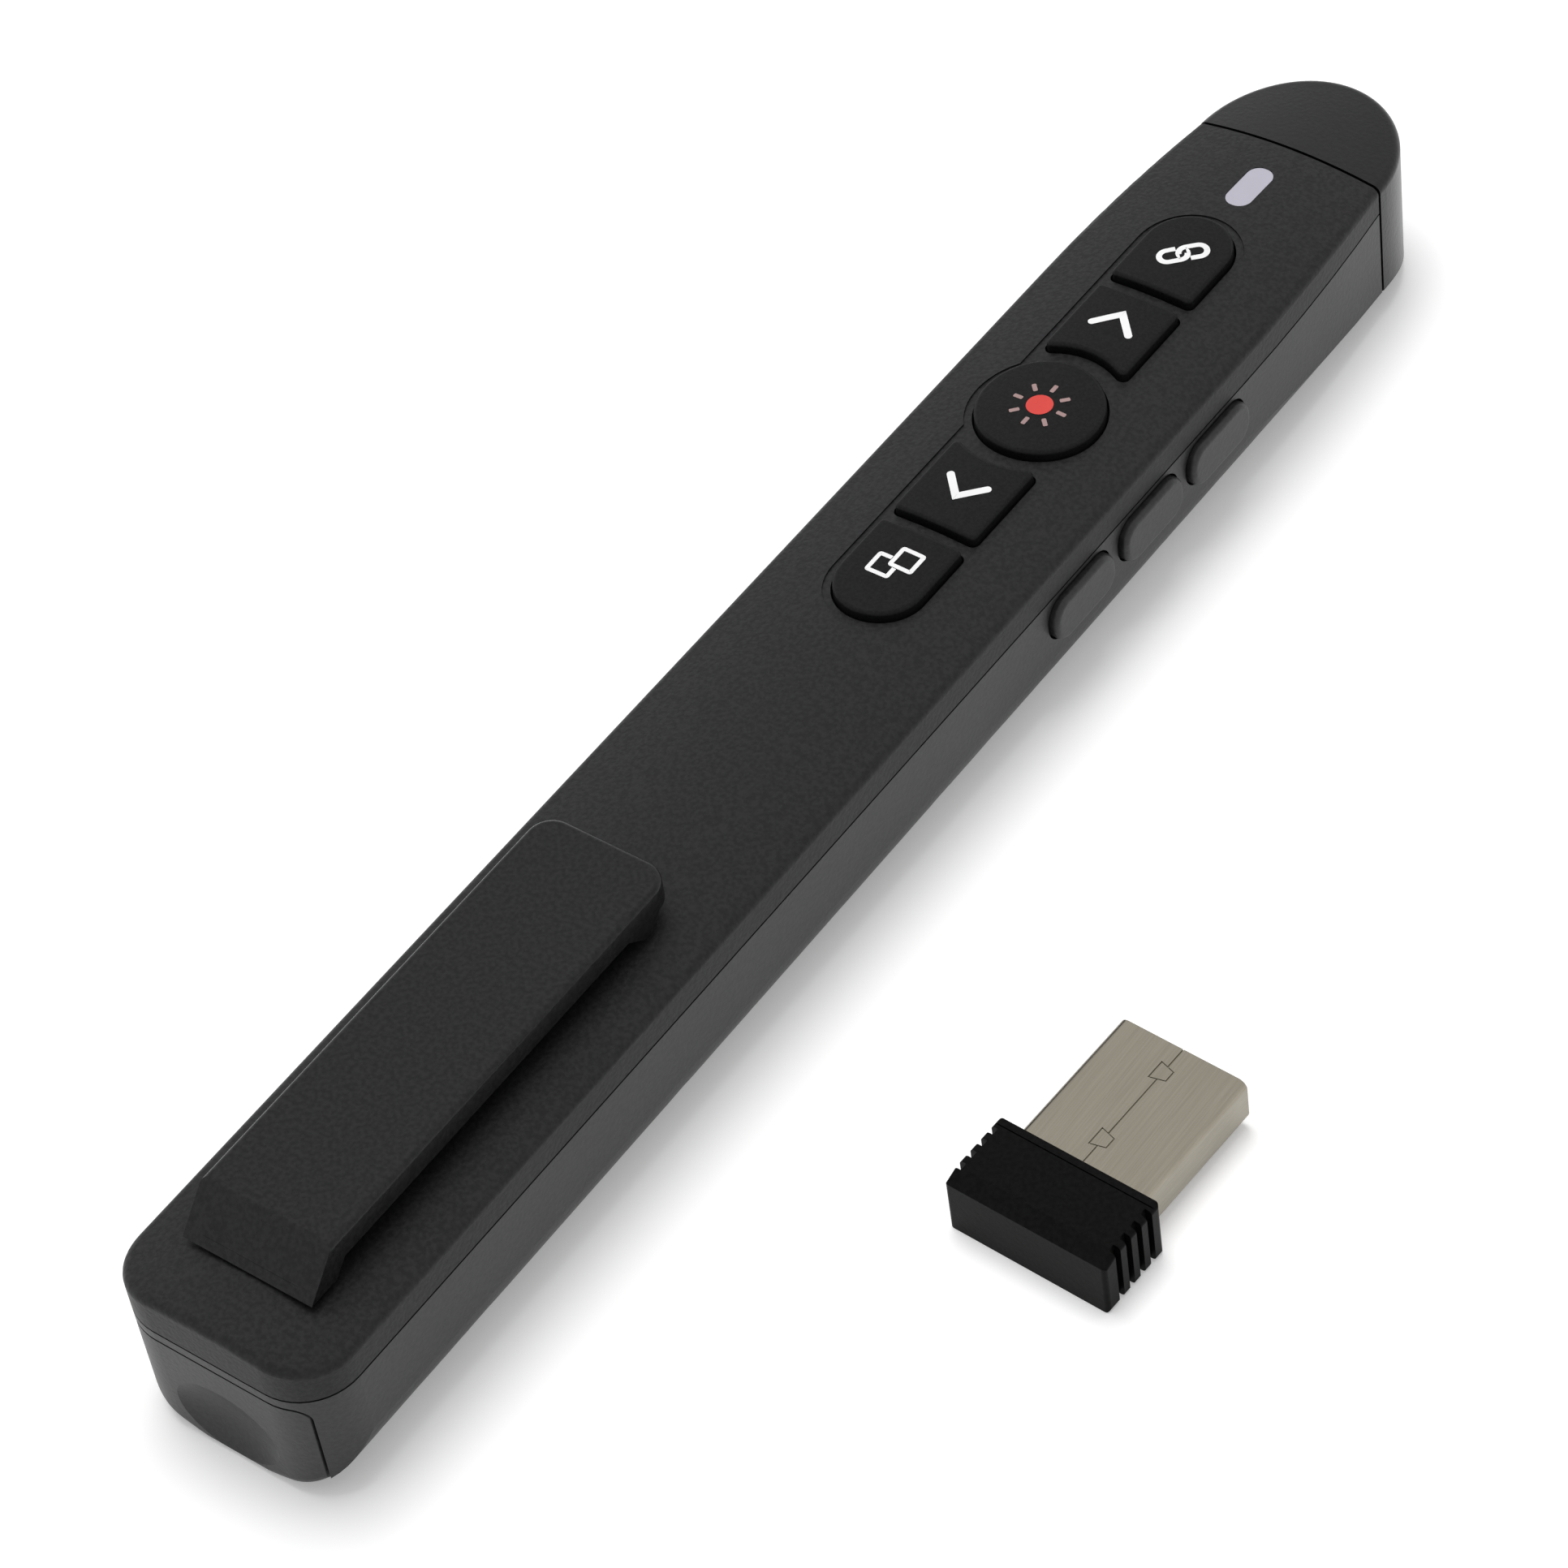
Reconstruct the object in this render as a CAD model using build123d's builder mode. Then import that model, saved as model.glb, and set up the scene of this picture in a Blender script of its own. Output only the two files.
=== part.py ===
from build123d import *
import os

os.makedirs("parts", exist_ok=True)

# Frame: X across, Y along the length with the laser end at +Y, Z up from the surface it rests on.

# Housing
total_length = 160.0
body_width = 21.0
half_width = body_width / 2
tail_y = -total_length / 2
nose_y = total_length / 2
seam_y = 69.5
taper_y = 46.0
seam_half_width = half_width - 1.25
nose_half_width = half_width - 1.2
corner_radius = 5.0
tail_round = 0.8
wall = 1.5
part_z = 12.2
edge_z = 15.2
crown_z = 16.4
crown_rise = crown_z - edge_z
crown_radius = (half_width**2 + crown_rise**2) / (2 * crown_rise)
keel_z = 5.6
keel_drop = 5.85
droop_y = 50.0
droop_radius = 300.0
rim_radius = 0.8
seam_gap = 0.18
nose_gap = 0.3
overreach = 2.0
lip_height = 0.5
lip_gap = 0.05
spigot_length = 3.0
spigot_gap = 0.08
spigot_wall = 1.4
hollow_depth = 5.0

# Keys on the top face
key_half_width = 4.05
key_gap = 0.2
key_proud = 0.75
key_edge_radius = 0.35
key_corner = 0.5
row_tail_y = 3.5
row_nose_y = 57.2
down_tail_y = 15.0
link_tail_y = 47.4
key_web = 1.5
laser_key_y = 30.7
laser_key_radius = 5.6
saddle_radius = 7.5
recess_margin = 0.9
recess_depth = 0.15
flange_lap = 0.6
flange_top_z = 14.5
flange_thickness = 0.8
stem_radius = 1.5
window_stem_y = 9.0
down_stem_y = 19.9
up_stem_y = 42.4
link_stem_y = 52.4

# Keys on the right flank
flank_length = 9.0
flank_height = 4.5
flank_z = 9.3
flank_pitch = 10.35
flank_mid_y = 30.4
flank_proud = 0.8
flank_lap = 0.5
flank_corner = 2.0

# Boards and switches
board_top_z = 10.6
board_thickness = 1.2
board_half_width = half_width - 3.1
board_back_y = 2.2
board_front_y = 58.0
tongue_half_width = 3.3
tongue_front_y = 66.3
stake_near_y = 14.7
stake_far_y = 47.2
stake_radius = 1.9
stake_tip_radius = 0.85
stake_head = 0.6
switch_size = 4.5
switch_height = 1.6
plunger_radius = 1.0
plunger_gap = 0.1
plunger_rise = 0.55
plunger_sink = 0.8
plunger_pocket = 1.4
side_switch_depth = 3.0
side_switch_height = 2.5
side_plunger_z = 8.2
side_plunger_radius = 0.8

# Power slide on the left flank
power_y = 30.4
power_travel = 2.0
knob_length = 4.8
knob_height = 2.7
knob_corner = 0.8
knob_proud = 0.7

# Indicator and laser
indicator_y = 63.1
indicator_length = 5.6
indicator_width = 2.5
indicator_corner = 1.2
indicator_gap = 0.03
laser_z = 6.0
barrel_radius = 3.0
barrel_back_y = 60.5
barrel_front_y = nose_y - 3.8
window_radius = 2.4
window_thickness = 0.8
window_inset = 1.1
beam_radius = 1.6

# Screws
screw_front_y = 61.2
screw_back_y = -0.9
screw_seat_z = 3.6
screw_head_radius = 1.9
screw_radius = 1.0
screw_tip_z = 12.0
screw_tip_gap = 0.3
boss_split_z = 8.0
boss_radius = 2.0
column_radius = 2.6
screw_x = barrel_radius + column_radius + 0.5

# Battery, contacts and door
cell_radius = 5.25
cell_can_length = 43.7
cell_nub_length = 0.8
cell_nub_radius = 1.9
cell_z = 7.05
cradle_gap = 0.15
cradle_inset = 10.0
coil_radius = 3.2
coil_turns = 3
coil_length = 3.1
contact_plate = 8.0
wire_radius = 0.25
contact_thickness = 0.3
bay_front_y = -4.7
bay_back_y = bay_front_y - 2 * contact_thickness - cell_nub_length - cell_can_length - coil_length
bay_ceiling_z = 9.4
bulkhead = 1.1
bulkhead_z = 4.9
door_front_y = -4.2
door_edge_z = 3.2
door_gap = 0.2
door_half_width = half_width - 2.0
flap_top_z = 10.95
flap_thickness = 1.5
flap_wrap = 3.9
flap_corner = 1.2
rail_x = half_width - 3.8
rail_thickness = 0.8
rail_top_z = 4.65
rail_hook_z = 4.05
rail_hook_x = half_width - 2.25
rail_end_inset = 4.0
scoop_depth = 1.0
scoop_half_width = 5.0
scoop_half_height = 3.8
scoop_z = 4.3

# Pocket clip
clip_half_width = 6.3
clip_top_z = 20.4
clip_thickness = 2.3
clip_inset = 5.8
clip_length = 45.4
clip_slope = 3.4
clip_foot_y = tail_y + clip_inset
clip_foot_length = 3.0
clip_root_slope = 1.3
clip_crease_y = clip_foot_y + clip_slope
clip_tip_y = clip_foot_y + clip_length
clip_tip_radius = 2.2
clip_edge_radius = 0.45
clip_bump_front = 2.2
clip_bump_slope = 0.8
clip_bump_back = 6.2
clip_bump_flat = 1.4
clip_gap = 0.3
clip_bump_gap = 0.35
clip_neck_half_width = 4.6
clip_neck_length = 2.0
clip_hook_reach = 1.6
clip_neck_back_y = clip_foot_y + 0.6
clip_neck_front_y = clip_neck_back_y + clip_neck_length
clip_hook_front_y = clip_neck_front_y + clip_hook_reach
clip_hook_top_z = 14.3
clip_hook_bottom_z = 13.4

# USB receiver lying beside the clicker
receiver_x = 41.6
receiver_y = -30.75
receiver_turn = -2.5
cap_width = 15.2
cap_depth = 7.2
cap_height = 6.0
cap_slope_drop = 0.6
cap_slope_reach = 1.6
bead_width = 0.7
plug_width = 12.0
plug_height = 4.5
plug_reach = 13.6
plug_sheet = 0.3
plug_corner = 0.8
seam_cut = 0.12
lock_length = 1.9
lock_width = 1.5
lock_near = 3.0
lock_far = 10.8
window_width = 2.3
window_length = 2.6
window_spread = 2.9
window_reach = 7.5
tongue_thickness = 1.9
tongue_gap = 0.4
pad_width = 1.1
pad_length = 8.2
pad_thickness = 0.25
pad_gap = 0.1
pad_inner = 1.0
pad_outer = 3.5
pad_reach = 5.4


def plan_prism(inset):
    side = half_width - inset
    corner = corner_radius - inset
    back = tail_y + inset
    with BuildPart() as prism:
        with BuildSketch(Plane.XY.offset(inset)):
            with BuildLine():
                end = Line((0, back), (side - corner, back))
                turn = TangentArc(end @ 1, (side, back + corner), tangent=(1, 0))
                flank = Line(turn @ 1, (side, taper_y))
                taper = TangentArc(flank @ 1, (seam_half_width - inset, seam_y), tangent=(0, 1))
                Line(taper @ 1, (0, seam_y))
                mirror(about=Plane.YZ)
            make_face()
        extrude(amount=crown_z + 4)
    return prism.part


def keel_prism(inset):
    side = half_width - inset
    top = crown_z + 6
    with BuildPart() as prism:
        with BuildSketch(Plane.XZ.offset(-nose_y - 1)):
            with Locations((0, keel_z)):
                Ellipse(side, keel_drop - inset)
            with Locations((0, (keel_z + top) / 2)):
                Rectangle(2 * side, top - keel_z)
        extrude(amount=total_length + 2)
    return prism.part


def crown_block(drop):
    with BuildPart() as block:
        with BuildSketch(Plane.XZ.offset(-droop_y)) as arch:
            with Locations((0, crown_z - drop - crown_radius)):
                Circle(crown_radius)
            with Locations((0, 0)):
                Rectangle(26, 60, mode=Mode.INTERSECT)
        extrude(arch.sketch, amount=droop_y - tail_y + 1)
        pivot = Axis((0, droop_y, crown_z - droop_radius), (-1, 0, 0))
        revolve(arch.sketch, axis=pivot, revolution_arc=9)
    return block.part


def housing_form(inset):
    with BuildPart() as form:
        add(plan_prism(inset))
        add(keel_prism(inset), mode=Mode.INTERSECT)
        add(crown_block(inset), mode=Mode.INTERSECT)
    return form.part


def slab(z_low, z_high, y_low=tail_y - 2, y_high=nose_y + 2, x_low=-14, x_high=14):
    with BuildPart() as block:
        with Locations(((x_low + x_high) / 2, (y_low + y_high) / 2, (z_low + z_high) / 2)):
            Box(x_high - x_low, y_high - y_low, z_high - z_low)
    return block.part


def ring_layer(outer_inset, z_low, z_high, y_low, y_high):
    with BuildPart() as ring:
        add(housing_form(outer_inset))
        add(inner_form, mode=Mode.SUBTRACT)
        add(slab(z_low, z_high, y_low, y_high), mode=Mode.INTERSECT)
    return ring.part


half_gap = key_gap / 2
board_under_z = board_top_z - board_thickness
bulkhead_top_z = part_z - lip_height - 0.1
lip_back_y = tail_y + flap_wrap + 0.3
lip_front_y = seam_y - spigot_length - 0.1
flank_rows = [flank_mid_y - flank_pitch, flank_mid_y, flank_mid_y + flank_pitch]
outer_form = housing_form(0)
inner_form = housing_form(wall)


# Key outlines, grown outward by a margin
def end_key_sketch(tip_y, flat_y, margin):
    toward_tip = 1 if tip_y > flat_y else -1
    reach = key_half_width + margin
    centre = tip_y - toward_tip * key_half_width
    flat = flat_y - toward_tip * margin
    with BuildSketch() as outline:
        with Locations((0, centre)):
            Circle(reach)
        with Locations((0, (centre + flat) / 2)):
            Rectangle(2 * reach, abs(centre - flat))
        with Locations((0, flat - toward_tip * 2 * reach)):
            Rectangle(4 * reach, 4 * reach, mode=Mode.SUBTRACT)
        square_corners = outline.vertices().filter_by(lambda v: abs(v.Y - flat) < key_gap)
        fillet(square_corners, radius=key_corner + margin)
    return outline.sketch


def saddle_key_sketch(flat_y, margin):
    toward_laser = 1 if laser_key_y > flat_y else -1
    reach = key_half_width + margin
    flat = flat_y - toward_laser * margin
    with BuildSketch() as outline:
        with Locations((0, (flat + laser_key_y) / 2)):
            Rectangle(2 * reach, abs(laser_key_y - flat))
        with Locations((0, laser_key_y)):
            Circle(saddle_radius - margin, mode=Mode.SUBTRACT)
        fillet(outline.vertices(), radius=key_corner + margin)
    return outline.sketch


def round_key_sketch(margin):
    with BuildSketch() as outline:
        with Locations((0, laser_key_y)):
            Circle(laser_key_radius + margin)
    return outline.sketch


def key_outlines(margin):
    return [
        end_key_sketch(row_tail_y, down_tail_y - key_web, margin),
        saddle_key_sketch(down_tail_y, margin),
        round_key_sketch(margin),
        saddle_key_sketch(link_tail_y - key_web, margin),
        end_key_sketch(row_nose_y, link_tail_y, margin),
    ]


def place_screws():
    return [(x, y) for x in (screw_x, -screw_x) for y in (screw_front_y, screw_back_y)]


# Recess floor that follows the crown around the key row
with BuildPart() as key_recess:
    with BuildSketch(Plane.XY.offset(part_z)):
        with Locations((0, row_tail_y + key_half_width), (0, row_nose_y - key_half_width)):
            Circle(key_half_width + recess_margin)
        with Locations((0, (row_tail_y + row_nose_y) / 2)):
            Rectangle(2 * (key_half_width + recess_margin), row_nose_y - row_tail_y - 2 * key_half_width)
        with Locations((0, laser_key_y)):
            Circle(laser_key_radius + recess_margin)
    extrude(amount=crown_z - part_z + 2)
    add(crown_block(recess_depth), mode=Mode.SUBTRACT)

# Screw bosses that hang from inside the crown, bored for the screws
with BuildPart() as bosses:
    with BuildSketch(Plane.XY.offset(boss_split_z + lip_gap)):
        with Locations(*place_screws()):
            Circle(boss_radius)
    extrude(amount=crown_z - boss_split_z)
    add(housing_form(wall / 2), mode=Mode.INTERSECT)
    with BuildSketch(Plane.XY.offset(boss_split_z)):
        with Locations(*place_screws()):
            Circle(screw_radius)
    extrude(amount=screw_tip_z + screw_tip_gap - boss_split_z, mode=Mode.SUBTRACT)

# Top shell: crowned skin with the key recess, key openings, clip slot and screw bosses
with BuildPart() as top_shell:
    add(outer_form)
    rim = top_shell.edges().filter_by(lambda e: e.center().Z > part_z)
    rim = rim.filter_by(lambda e: abs(e.center().X) > seam_half_width - 0.5 or e.center().Y < tail_y + 2)
    fillet(rim, radius=rim_radius)
    add(inner_form, mode=Mode.SUBTRACT)
    add(slab(part_z, crown_z + 1, tail_y - 1, seam_y - nose_gap), mode=Mode.INTERSECT)
    add(ring_layer(wall / 2 + lip_gap, part_z - lip_height, part_z + 0.1, lip_back_y, lip_front_y))
    add(key_recess.part, mode=Mode.SUBTRACT)
    with BuildSketch(Plane.XY.offset(part_z)):
        for opening in key_outlines(key_gap):
            add(opening)
        with Locations((0, indicator_y)):
            RectangleRounded(indicator_width, indicator_length, indicator_corner)
        with Locations((0, (clip_neck_front_y + clip_neck_back_y) / 2)):
            Rectangle(2 * (clip_neck_half_width + clip_gap), clip_neck_front_y - clip_neck_back_y + 2 * clip_gap)
    extrude(amount=crown_z - part_z + 1, mode=Mode.SUBTRACT)
    add(bosses.part)
top_shell.part.label = "top_shell"
export_step(top_shell.part, "parts/top_shell.step")


# Door outline: an end flap and a keel skin of one width, grown outward by a margin.
# The margin grows the region into the housing, so the same call cuts the opening.
def door_region(margin):
    side = door_half_width + margin
    top = flap_top_z + margin
    with BuildPart() as region:
        with BuildSketch(Plane.XZ.offset(-tail_y - flap_wrap)) as face:
            with Locations((0, (top - overreach) / 2)):
                Rectangle(2 * side, top + overreach)
            fillet(face.vertices().group_by(Axis.Z)[-1], radius=flap_corner + margin)
        extrude(amount=flap_wrap + overreach)
        add(slab(-overreach, door_edge_z + margin, tail_y - overreach, door_front_y + margin, -side, side))
        add(outer_form, mode=Mode.INTERSECT)
    return region.part


flap_skin = housing_form(flap_thickness)
cell_mid_y = (bay_front_y + bay_back_y) / 2
bay_length = bay_front_y - bay_back_y

# Bulkheads beside the cell and the receiver bay, cradle ribs and the bay ceiling
with BuildPart() as bay_frame:
    add(slab(bulkhead_z, bulkhead_top_z, bay_front_y, bay_front_y + bulkhead))
    add(slab(bulkhead_z, bulkhead_top_z, bay_back_y - bulkhead, bay_back_y))
    for rib_y in (bay_front_y - cradle_inset, bay_back_y + cradle_inset):
        add(slab(bulkhead_z, bulkhead_top_z, rib_y - bulkhead / 2, rib_y + bulkhead / 2))
    add(slab(bay_ceiling_z, bay_ceiling_z + bulkhead, tail_y + flap_thickness, bay_back_y))
    with Locations((0, cell_mid_y, cell_z)):
        Cylinder(cell_radius + cradle_gap, bay_length, rotation=(90, 0, 0), mode=Mode.SUBTRACT)
    with Locations((0, cell_mid_y, 0)):
        Box(2 * (cell_radius + cradle_gap), bay_length, 2 * cell_z, mode=Mode.SUBTRACT)
    add(inner_form, mode=Mode.INTERSECT)

# Wall behind the door flap
with BuildPart() as end_wall:
    add(housing_form(flap_thickness + door_gap))
    add(housing_form(flap_thickness + door_gap + bulkhead), mode=Mode.SUBTRACT)
    add(slab(bulkhead_z, part_z - lip_height - 0.1, tail_y, tail_y + flap_wrap), mode=Mode.INTERSECT)

# Screw columns and board stakes rising from the keel
with BuildPart() as columns:
    with BuildSketch(Plane.XY.offset(-1)):
        with Locations(*place_screws()):
            Circle(column_radius)
    extrude(amount=boss_split_z + 1)
    with BuildSketch(Plane.XY):
        with Locations((0, stake_near_y), (0, stake_far_y)):
            Circle(stake_radius)
    extrude(amount=board_under_z)
    with BuildSketch(Plane.XY):
        with Locations((0, stake_near_y), (0, stake_far_y)):
            Circle(stake_tip_radius)
    extrude(amount=board_top_z + stake_head)
    add(outer_form, mode=Mode.INTERSECT)

# Bottom shell: keel, flank openings, bulkheads, columns and the opening for the battery door
with BuildPart() as bottom_shell:
    add(outer_form)
    add(inner_form, mode=Mode.SUBTRACT)
    add(slab(-1, part_z - seam_gap, tail_y - 1, seam_y - nose_gap), mode=Mode.INTERSECT)
    add(ring_layer(wall / 2, part_z - lip_height - lip_gap, part_z + 1, tail_y, seam_y), mode=Mode.SUBTRACT)
    add(bay_frame.part)
    add(columns.part)
    with BuildSketch(Plane.YZ.offset(half_width - wall - 0.5)):
        for row in flank_rows:
            with Locations((row, flank_z)):
                RectangleRounded(flank_length + key_gap, flank_height + key_gap, flank_corner + half_gap)
    extrude(amount=wall + 2, mode=Mode.SUBTRACT)
    with BuildSketch(Plane.YZ.offset(-half_width - 1)):
        with Locations((power_y, flank_z)):
            RectangleRounded(knob_length + power_travel + key_gap, knob_height + key_gap, knob_corner + half_gap)
    extrude(amount=wall + 1.5, mode=Mode.SUBTRACT)
    with BuildSketch(Plane.XY.offset(-1)):
        with Locations(*place_screws()):
            Circle(screw_head_radius + 0.2)
    extrude(amount=screw_seat_z + 1, mode=Mode.SUBTRACT)
    with BuildSketch(Plane.XY):
        with Locations(*place_screws()):
            Circle(screw_radius + 0.15)
    extrude(amount=boss_split_z + 1, mode=Mode.SUBTRACT)
    with BuildSketch(Plane.XY.offset(boss_split_z)):
        with Locations(*place_screws()):
            Circle(boss_radius + spigot_gap)
    extrude(amount=part_z - boss_split_z, mode=Mode.SUBTRACT)
    add(door_region(door_gap), mode=Mode.SUBTRACT)
    add(end_wall.part)
bottom_shell.part.label = "bottom_shell"
export_step(bottom_shell.part, "parts/bottom_shell.step")

# Hooked rails that slide above the lower edge of the bottom shell
with BuildPart() as door_rails:
    with BuildSketch(Plane.XZ.offset(-door_front_y + rail_end_inset)):
        for side in (1, -1):
            with BuildLine():
                Polyline(
                    (side * rail_x, 0),
                    (side * rail_x, rail_top_z),
                    (side * rail_hook_x, rail_top_z),
                    (side * rail_hook_x, rail_hook_z),
                    (side * (rail_x + rail_thickness), rail_hook_z),
                    (side * (rail_x + rail_thickness), 0),
                    close=True,
                )
            make_face()
    extrude(amount=door_front_y - rail_end_inset - bay_back_y)
    add(outer_form, mode=Mode.INTERSECT)

# Thumb scoop: an arc in side view, turned about an upright axis behind the tail
scoop_drop = (scoop_half_height**2 + scoop_depth**2) / (2 * scoop_depth)
scoop_reach = (scoop_half_width**2 + scoop_depth**2) / (2 * scoop_depth)
scoop_axis_y = tail_y + scoop_depth - scoop_reach
with BuildPart() as thumb_scoop:
    with BuildSketch(Plane.YZ):
        with Locations((tail_y + scoop_depth - scoop_drop, scoop_z)):
            Circle(scoop_drop)
        with Locations((scoop_axis_y + scoop_reach / 2, scoop_z)):
            Rectangle(scoop_reach, 2 * scoop_drop, mode=Mode.INTERSECT)
    revolve(axis=Axis((0, scoop_axis_y, 0), (0, 0, 1)))

# Battery door: keel skin and end flap with a thumb scoop, held by the rails
with BuildPart() as battery_door:
    add(door_region(0))
    add(flap_skin, mode=Mode.SUBTRACT)
    add(door_rails.part)
    tail_face = battery_door.faces().filter_by(Axis.Y).sort_by(Axis.Y)[0]
    under = tail_face.edges().filter_by(lambda e: e.center().Z < keel_drop - keel_z + 1.0)
    fillet(under, radius=tail_round)
    add(thumb_scoop.part, mode=Mode.SUBTRACT)
battery_door.part.label = "battery_door"
export_step(battery_door.part, "parts/battery_door.step")


# Nose cap: half-ellipse plan on the same keel and crown, with a spigot into the shells
def nose_form(inset):
    with BuildPart() as form:
        with BuildSketch(Plane.XY.offset(inset)):
            with Locations((0, seam_y)):
                Ellipse(nose_half_width - inset, nose_y - seam_y - inset)
            with Locations((0, seam_y - 20)):
                Rectangle(30, 40, mode=Mode.SUBTRACT)
        extrude(amount=crown_z + 4)
        add(keel_prism(inset), mode=Mode.INTERSECT)
        add(crown_block(inset), mode=Mode.INTERSECT)
    return form.part


with BuildPart() as nose_hollow:
    add(nose_form(wall + spigot_gap + spigot_wall))
    add(slab(0, crown_z, seam_y - 1, seam_y + hollow_depth), mode=Mode.INTERSECT)

with BuildPart() as spigot:
    add(housing_form(wall + spigot_gap))
    add(slab(0, crown_z, seam_y - spigot_length, seam_y), mode=Mode.INTERSECT)
    add(housing_form(wall + spigot_gap + spigot_wall), mode=Mode.SUBTRACT)

with BuildPart() as nose_cap:
    add(nose_form(0))
    add(spigot.part)
    nose_rim = nose_cap.edges().filter_by(lambda e: e.center().Z > part_z and e.center().Y > seam_y + 3)
    fillet(nose_rim, radius=rim_radius)
    add(nose_hollow.part, mode=Mode.SUBTRACT)
    with BuildSketch(Plane.XZ.offset(-seam_y)):
        with Locations((0, laser_z)):
            Circle(barrel_radius)
    extrude(amount=-(barrel_front_y - seam_y), mode=Mode.SUBTRACT)
    with BuildSketch(Plane.XZ.offset(-seam_y)):
        with Locations((0, laser_z)):
            Circle(beam_radius)
    extrude(amount=-(nose_y - seam_y + 1), mode=Mode.SUBTRACT)
    with BuildSketch(Plane.XZ.offset(-nose_y + window_inset + window_thickness)):
        with Locations((0, laser_z)):
            Circle(window_radius)
    extrude(amount=-(window_inset + window_thickness + 1), mode=Mode.SUBTRACT)
nose_cap.part.label = "nose_cap"
export_step(nose_cap.part, "parts/nose_cap.step")

with BuildPart() as laser_window:
    with BuildSketch(Plane.XZ.offset(-nose_y + window_inset + window_thickness)):
        with Locations((0, laser_z)):
            Circle(window_radius)
    extrude(amount=-window_thickness)
laser_window.part.label = "laser_window"
export_step(laser_window.part, "parts/laser_window.step")

# Laser module: turned barrel with a stepped lens bore
with BuildPart() as laser_barrel:
    with BuildSketch(Plane.YZ):
        with BuildLine():
            Polyline(
                (barrel_back_y, laser_z + 1.0),
                (barrel_back_y, laser_z + barrel_radius - 0.3),
                (barrel_back_y + 4, laser_z + barrel_radius - 0.3),
                (barrel_back_y + 4.3, laser_z + barrel_radius),
                (barrel_front_y - 0.3, laser_z + barrel_radius),
                (barrel_front_y, laser_z + barrel_radius - 0.3),
                (barrel_front_y, laser_z + 1.8),
                (barrel_front_y - 2.5, laser_z + 1.0),
                close=True,
            )
        make_face()
    revolve(axis=Axis((0, 0, laser_z), (0, 1, 0)))
laser_barrel.part.label = "laser_barrel"
export_step(laser_barrel.part, "parts/laser_barrel.step")

# Indicator light pipe with a retaining flange
with BuildPart() as indicator_window:
    with BuildSketch(Plane.XY.offset(13.6)):
        with Locations((0, indicator_y)):
            RectangleRounded(
                indicator_width - 2 * indicator_gap,
                indicator_length - 2 * indicator_gap,
                indicator_corner - indicator_gap,
            )
    extrude(amount=4)
    add(crown_block(0.05), mode=Mode.INTERSECT)
    with BuildSketch(Plane.XY.offset(13.2)):
        with Locations((0, indicator_y - 0.5)):
            SlotOverall(indicator_length + 0.8, indicator_width + 1.6, rotation=90)
    extrude(amount=0.8)
indicator_window.part.label = "indicator_window"
export_step(indicator_window.part, "parts/indicator_window.step")

with BuildPart() as status_led:
    with Locations((0, indicator_y, board_top_z + 0.4)):
        Box(1.6, 3.2, 0.8)
    with Locations((0, indicator_y, board_top_z + 0.8)):
        Cylinder(0.6, 1.2)
status_led.part.label = "status_led"
export_step(status_led.part, "parts/status_led.step")

# Main board with a narrow tongue between the front screw columns
with BuildPart() as main_board:
    with BuildSketch(Plane.XY.offset(board_top_z - board_thickness)) as board_face:
        with Locations((0, (board_back_y + board_front_y) / 2)):
            Rectangle(2 * board_half_width, board_front_y - board_back_y)
        with Locations((0, (board_back_y + tongue_front_y) / 2)):
            Rectangle(2 * tongue_half_width, tongue_front_y - board_back_y)
        fillet(board_face.vertices(), radius=0.6)
        with Locations((0, stake_near_y), (0, stake_far_y)):
            Circle(stake_tip_radius + 0.1, mode=Mode.SUBTRACT)
    extrude(amount=board_thickness)
main_board.part.label = "main_board"
export_step(main_board.part, "parts/main_board.step")

stem_places = [
    (0, window_stem_y),
    (0, down_stem_y),
    (0, laser_key_y),
    (0, up_stem_y),
    (0, link_stem_y),
]
with BuildPart() as key_switches:
    with BuildSketch(Plane.XY.offset(board_top_z)):
        with Locations(*stem_places):
            RectangleRounded(switch_size, switch_size, 0.4)
    extrude(amount=switch_height)
    with BuildSketch(Plane.XY.offset(board_top_z + switch_height)):
        with Locations(*stem_places):
            Circle(plunger_radius + plunger_gap)
    extrude(amount=-plunger_pocket, mode=Mode.SUBTRACT)
key_switches.part.label = "key_switches"
export_step(key_switches.part, "parts/key_switches.step")

with BuildPart() as side_switches:
    for row in flank_rows:
        with Locations((board_half_width - side_switch_depth / 2, row, board_under_z - side_switch_height / 2)):
            Box(side_switch_depth, switch_size, side_switch_height)
    with BuildSketch(Plane.YZ.offset(board_half_width)):
        for row in flank_rows:
            with Locations((row, side_plunger_z)):
                Circle(side_plunger_radius + plunger_gap)
    extrude(amount=-plunger_pocket, mode=Mode.SUBTRACT)
side_switches.part.label = "side_switches"
export_step(side_switches.part, "parts/side_switches.step")

with BuildPart() as radio_chip:
    with Locations((0, 36.5, board_under_z - 0.45)):
        Box(5, 5, 0.9)
radio_chip.part.label = "radio_chip"
export_step(radio_chip.part, "parts/radio_chip.step")

with BuildPart() as crystal:
    with BuildSketch(Plane.XY.offset(board_under_z - 0.9)):
        with Locations((0, 29.8)):
            RectangleRounded(3.2, 2.5, 0.4)
    extrude(amount=0.9)
crystal.part.label = "crystal"
export_step(crystal.part, "parts/crystal.step")

# Power slide: switch body under the board edge, lever and ribbed knob
with BuildPart() as power_switch:
    with Locations((-board_half_width + 1.5, power_y, board_under_z - 1.25)):
        Box(3.0, 8.0, 2.5)
    with Locations((-board_half_width + 0.5, power_y, side_plunger_z)):
        Box(1.2, power_travel + 1.2, 1.0, mode=Mode.SUBTRACT)
power_switch.part.label = "power_switch"
export_step(power_switch.part, "parts/power_switch.step")

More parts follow.
